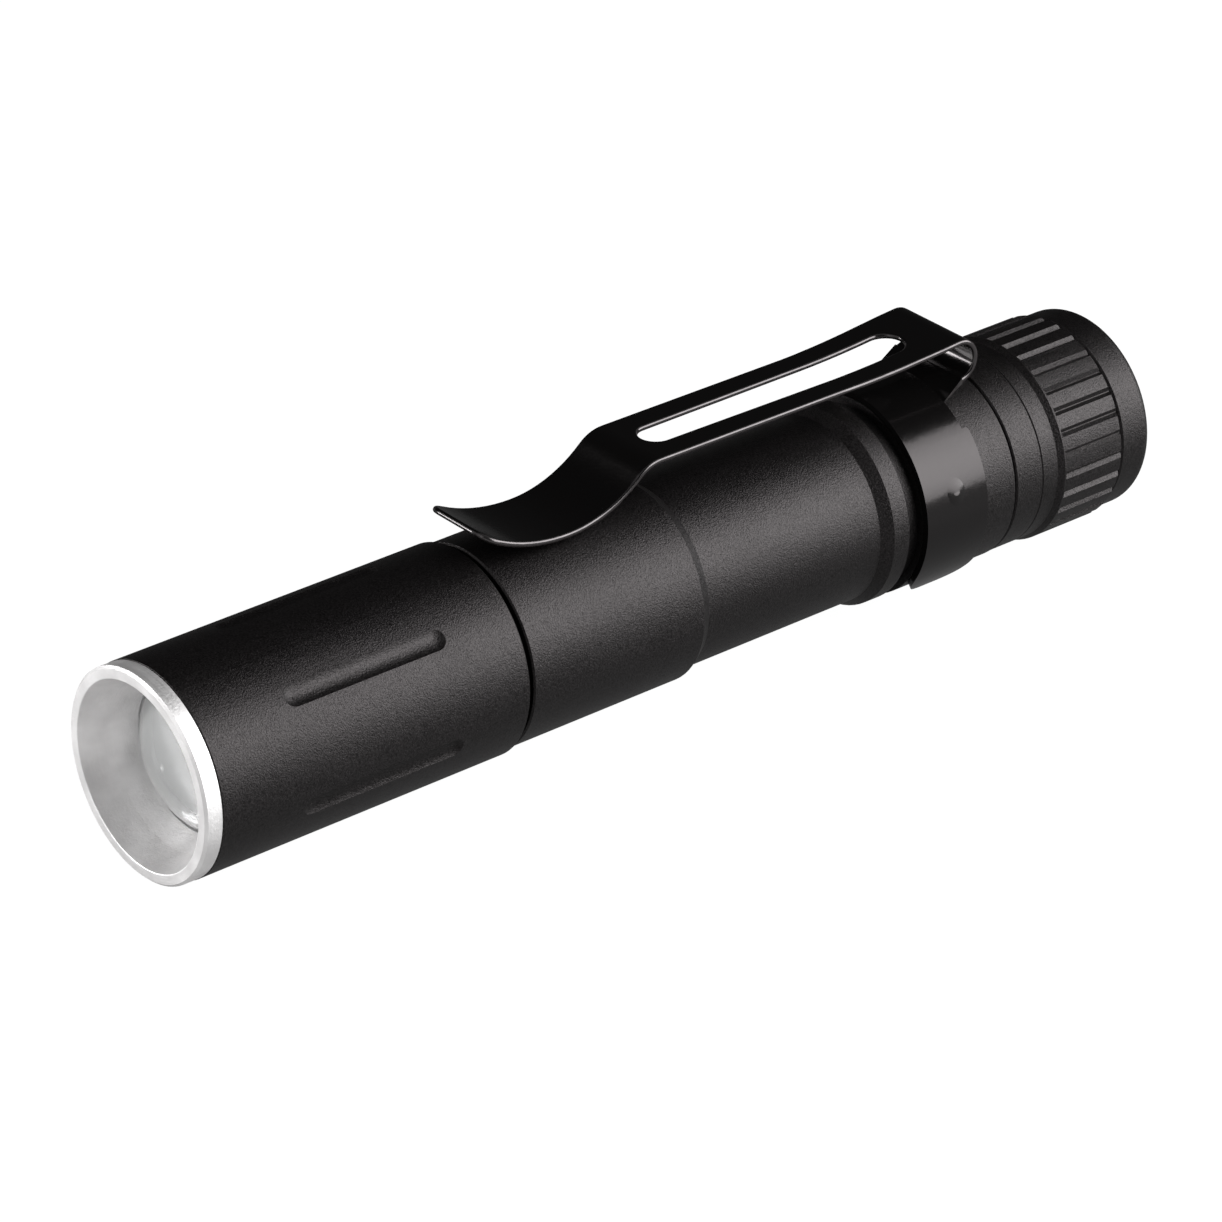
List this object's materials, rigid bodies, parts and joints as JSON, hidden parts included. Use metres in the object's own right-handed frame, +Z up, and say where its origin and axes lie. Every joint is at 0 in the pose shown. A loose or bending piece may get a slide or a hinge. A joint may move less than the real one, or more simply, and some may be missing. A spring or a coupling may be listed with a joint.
{
  "type": "tactical flashlight",
  "caption": "Slim pocket flashlight with a sliding zoom head, silver bezel ring, stepped black tube, sprung steel pocket clip and screw-on ribbed tail cap with push switch.",
  "frame": {"origin": "centre of the bounding box's underside, on the surface the light lies on, straight below the tube's axis, which is 10 mm up", "axes": "+X runs along the tube's axis from the bezel to the tail cap, so the beam leaves towards -X; +Z is up, towards the clip; +Y follows by the right-hand rule"},
  "size_m": [0.1106, 0.0206, 0.0247],
  "materials": {
    "black_anodised": "bead-blasted, black hard anodised",
    "silver_anodised": "fine turned, clear anodised satin",
    "black_spring_steel": "gloss black coated spring steel",
    "lens_clear": "polished",
    "black_rubber": "matt",
    "black_plastic": "matt",
    "brass": "turned",
    "board_white": "white solder mask on aluminium",
    "ceramic_white": "fired",
    "silicone_dome": "clear dome over yellow phosphor",
    "wire_red": "silicone insulated wire",
    "wire_black": "silicone insulated wire",
    "board_green": "solder mask",
    "ferrite": "sintered",
    "capacitor_tan": "fired",
    "gold_spring": "gold plated spring wire",
    "nickel_steel": "nickel plated",
    "cell_wrap": "plain printed film without lettering",
    "insulator_card": "card washer",
    "switch_white": "acetal"
  },
  "bodies": {
    "barrel": {"body_tube": "black_anodised", "zoom_o_rings": "black_rubber", "tail_o_ring": "black_rubber", "heat_sink": "brass", "star_board": "board_white", "led_base": "ceramic_white", "led_dome": "silicone_dome", "lead_positive": "wire_red", "lead_negative": "wire_black", "driver_board": "board_green", "driver_chip": "black_plastic", "driver_inductor": "ferrite", "driver_capacitors": "capacitor_tan", "contact_spring": "gold_spring", "battery_can": "nickel_steel", "battery_wrap": "cell_wrap", "battery_terminal": "nickel_steel", "battery_insulator": "insulator_card"},
    "head": {"bezel_ring": "silver_anodised", "lens_seal": "black_rubber", "lens": "lens_clear", "lens_retainer": "black_plastic", "head_sleeve": "black_anodised"},
    "clip": {"pocket_clip": "black_spring_steel"},
    "cap_carrier": {"battery_spring": "gold_spring"},
    "cap": {"tail_cap": "black_anodised", "switch_retainer": "brass", "switch_board": "board_green", "switch_housing": "black_plastic", "switch_spring": "nickel_steel"},
    "button": {"switch_boot": "black_rubber", "switch_plunger": "switch_white"}
  },
  "joints": [
    {"name": "head_zoom", "type": "slide", "parent": "barrel", "child": "head", "axis": [-1, 0, 0], "range_m": [0, 0.008]},
    {"name": "clip_swivel", "type": "hinge", "parent": "barrel", "child": "clip", "pos_m": [0, 0, 0.01], "axis": [1, 0, 0], "continuous": true},
    {"name": "cap_travel", "type": "slide", "parent": "barrel", "child": "cap_carrier", "axis": [1, 0, 0], "range_m": [0, 0.007]},
    {"name": "cap_turn", "type": "hinge", "parent": "cap_carrier", "child": "cap", "pos_m": [0, 0, 0.01], "axis": [1, 0, 0], "range_deg": [0, 2520]},
    {"name": "button_press", "type": "slide", "parent": "cap", "child": "button", "axis": [-1, 0, 0], "range_m": [0, 0.0015], "stiffness_N_per_m": 1200, "springref_m": -0.0005, "deforming": ["switch_spring"]}
  ],
  "couplings": [
    {"joint": "cap_travel", "follows": "cap_turn", "m_per_rad": 0.00015915}
  ]
}
